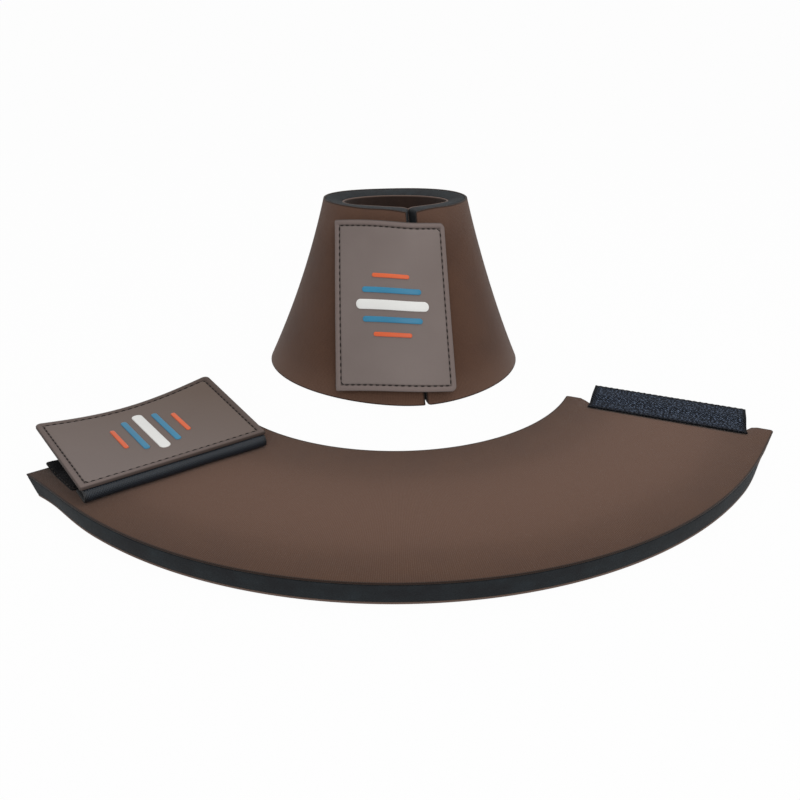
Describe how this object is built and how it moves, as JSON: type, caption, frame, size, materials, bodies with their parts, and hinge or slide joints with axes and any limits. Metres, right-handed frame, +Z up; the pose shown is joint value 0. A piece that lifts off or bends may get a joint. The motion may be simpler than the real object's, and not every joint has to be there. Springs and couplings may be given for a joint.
{
  "type": "overreach boots",
  "caption": "Pair of foam overreach boots for a horse: one closed into a bell by its strap and flap, its mirror image lying open with the outer face up.",
  "frame": {"origin": "centre of the pair's bounding box, on the floor", "axes": "+Z up; the closed boot stands at the back (+Y) and faces -Y; the open boot lies in front of it, spread along X"},
  "size_m": [0.4966, 0.4315, 0.1344],
  "materials": {
    "outer_fabric": "brown knitted polyester, matt",
    "foam_core": "cut chloroprene foam, matt",
    "lining": "brown knitted lining, matt",
    "landing_pad": "loop tape, matt",
    "flap": "moulded soft PVC, satin",
    "flap_backing": "hook tape, matt",
    "flap_fold": "folded polyester tape, slight sheen",
    "strap": "woven polyester webbing, matt",
    "strap_hook": "hook tape, matt",
    "bar_orange": "raised print, satin",
    "bar_blue": "raised print, satin",
    "bar_white": "raised print, satin"
  },
  "bodies": {
    "open_boot": {"open_outer_fabric": "outer_fabric", "open_foam_core": "foam_core", "open_lining": "lining", "open_landing_pad": "landing_pad", "open_flap_fold": "flap_fold"},
    "open_flap_body": {"open_flap": "flap", "open_flap_backing": "flap_backing", "open_bar_1": "bar_orange", "open_bar_2": "bar_blue", "open_bar_3": "bar_white", "open_bar_4": "bar_blue", "open_bar_5": "bar_orange"},
    "open_strap_body": {"open_strap": "strap", "open_strap_hook": "strap_hook"},
    "closed_boot": {"closed_outer_fabric": "outer_fabric", "closed_foam_core": "foam_core", "closed_lining": "lining", "closed_landing_pad": "landing_pad", "closed_flap_fold": "flap_fold"},
    "closed_flap_body": {"closed_flap": "flap", "closed_flap_backing": "flap_backing", "closed_bar_1": "bar_orange", "closed_bar_2": "bar_blue", "closed_bar_3": "bar_white", "closed_bar_4": "bar_blue", "closed_bar_5": "bar_orange"},
    "closed_strap_body": {"closed_strap": "strap", "closed_strap_hook": "strap_hook"}
  },
  "joints": [
    {"name": "closed_boot_lift", "type": "slide", "parent": "open_boot", "child": "closed_boot", "axis": [0, 0, 1], "range_m": [0, 0.16]},
    {"name": "closed_flap_hinge", "type": "hinge", "parent": "closed_boot", "child": "closed_flap_body", "pos_m": [-0.05951, 0.05943, 0.06629], "axis": [0.0078, -0.4622, -0.8868], "range_deg": [0, 140]},
    {"name": "closed_strap_hinge", "type": "hinge", "parent": "closed_boot", "child": "closed_strap_body", "pos_m": [0.02049, 0.05355, 0.06405], "axis": [-0.086, 0.4203, 0.9033], "range_deg": [0, 112]},
    {"name": "open_flap_hinge", "type": "hinge", "parent": "open_boot", "child": "open_flap_body", "pos_m": [-0.14794, -0.10533, 0.0227], "axis": [0.807, 0.5906, 0], "range_deg": [0, 160]},
    {"name": "open_strap_hinge", "type": "hinge", "parent": "open_boot", "child": "open_strap_body", "pos_m": [0.17501, -0.03203, 0.0151], "axis": [0.9219, -0.3875, 0], "range_deg": [0, 165]}
  ],
  "couplings": [
    {"joint": "closed_strap_hinge", "follows": "closed_flap_hinge", "ratio": 0.8}
  ]
}
